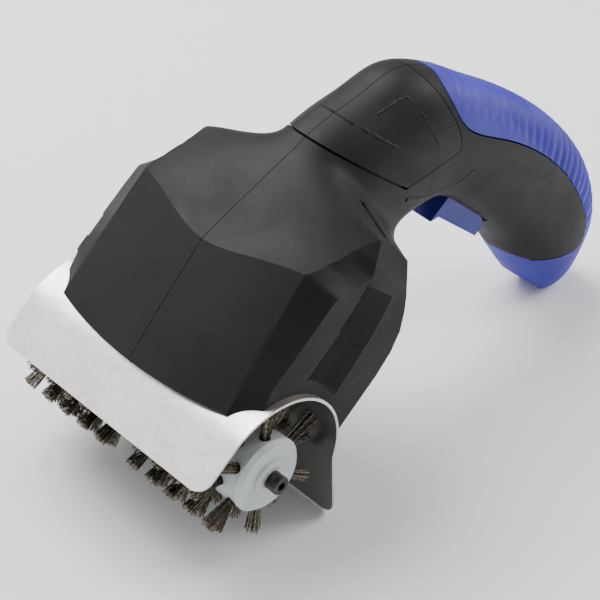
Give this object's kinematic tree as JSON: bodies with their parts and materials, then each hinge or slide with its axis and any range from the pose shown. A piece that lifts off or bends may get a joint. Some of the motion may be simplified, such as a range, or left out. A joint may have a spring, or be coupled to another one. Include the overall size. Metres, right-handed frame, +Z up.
{
  "type": "cordless grill cleaning brush",
  "caption": "Cordless grill cleaning brush: a motor head turns a wire-tufted roller under a bent steel hood, on a curved handle with a soft grip and a trigger.",
  "frame": {"origin": "under the middle of the tool's box, on the table it lies on", "axes": "+X along the roller to the tool's left, +Y from the roller back to the handle's butt, +Z up off the table; the tool lies on the hood's rear lip and the handle's foot"},
  "size_m": [0.1154, 0.2634, 0.1413],
  "materials": {
    "black_plastic": "satin, finely textured",
    "neck_plastic": "satin, finely textured",
    "plate_plastic": "satin",
    "blue_grip": "matt, softly ribbed",
    "blue_trigger": "satin",
    "hood_steel": "satin stainless sheet",
    "case_plastic": "satin",
    "roller_nylon": "smooth, slightly glossy",
    "bristle_wire": "fine crimped steel wire",
    "black_screw": "black oxide",
    "zinc_screw": "zinc plated",
    "motor_steel": "drawn steel can",
    "ground_steel": "ground",
    "pulley_metal": "machined",
    "belt_rubber": "matt",
    "cell_wrap": "shrink sleeve",
    "holder_plastic": "plain",
    "board_laminate": "solder mask",
    "switch_plastic": "plain",
    "socket_metal": "bright shell"
  },
  "bodies": {
    "tool": {"housing_left": "black_plastic", "housing_right": "black_plastic", "soft_grip": "blue_grip", "neck_cover_left": "neck_plastic", "neck_cover_right": "neck_plastic", "side_plate": "plate_plastic", "housing_screws": "zinc_screw", "steel_hood": "hood_steel", "hood_screws": "zinc_screw", "arm_case_left": "case_plastic", "arm_case_right": "case_plastic", "arm_case_screws": "zinc_screw", "motor_can": "motor_steel", "motor_end_cap": "switch_plastic", "motor_screws": "zinc_screw", "drive_belt": "belt_rubber", "roller_bearings": "ground_steel", "trigger_pin": "ground_steel", "trigger_spring": "ground_steel", "switch_body": "switch_plastic", "battery_cells": "cell_wrap", "battery_holder": "holder_plastic", "circuit_board": "board_laminate", "board_screws": "zinc_screw", "charging_socket": "socket_metal"},
    "roller": {"driven_pulley": "pulley_metal", "roller_shaft": "ground_steel", "roller_core_left": "roller_nylon", "roller_core_right": "roller_nylon", "bristles_left": "bristle_wire", "bristles_right": "bristle_wire", "roller_washers": "zinc_screw", "roller_end_screws": "black_screw"},
    "motor_rotor": {"motor_shaft": "ground_steel", "drive_pulley": "pulley_metal"},
    "trigger_lever": {"trigger": "blue_trigger"},
    "plunger": {"switch_plunger": "switch_plastic"}
  },
  "joints": [
    {"name": "roller_spin", "type": "hinge", "parent": "tool", "child": "roller", "pos_m": [0, -0.09921, 0.03935], "axis": [1, 0, 0], "continuous": true},
    {"name": "motor_spin", "type": "hinge", "parent": "tool", "child": "motor_rotor", "pos_m": [0, -0.05654, 0.0846], "axis": [1, 0, 0], "continuous": true},
    {"name": "trigger_press", "type": "hinge", "parent": "tool", "child": "trigger_lever", "pos_m": [0, 0.03443, 0.08024], "axis": [1, 0, 0], "range_deg": [0, 5], "stiffness_Nm_per_rad": 0.8, "springref_deg": -4.58, "deforming": ["trigger_spring"]},
    {"name": "plunger_travel", "type": "slide", "parent": "tool", "child": "plunger", "axis": [0, 0.7423, 0.6701], "range_m": [0, 0.0009]}
  ],
  "couplings": [
    {"joint": "motor_spin", "follows": "roller_spin", "ratio": 2},
    {"joint": "plunger_travel", "follows": "trigger_press", "m_per_rad": 0.0103}
  ]
}
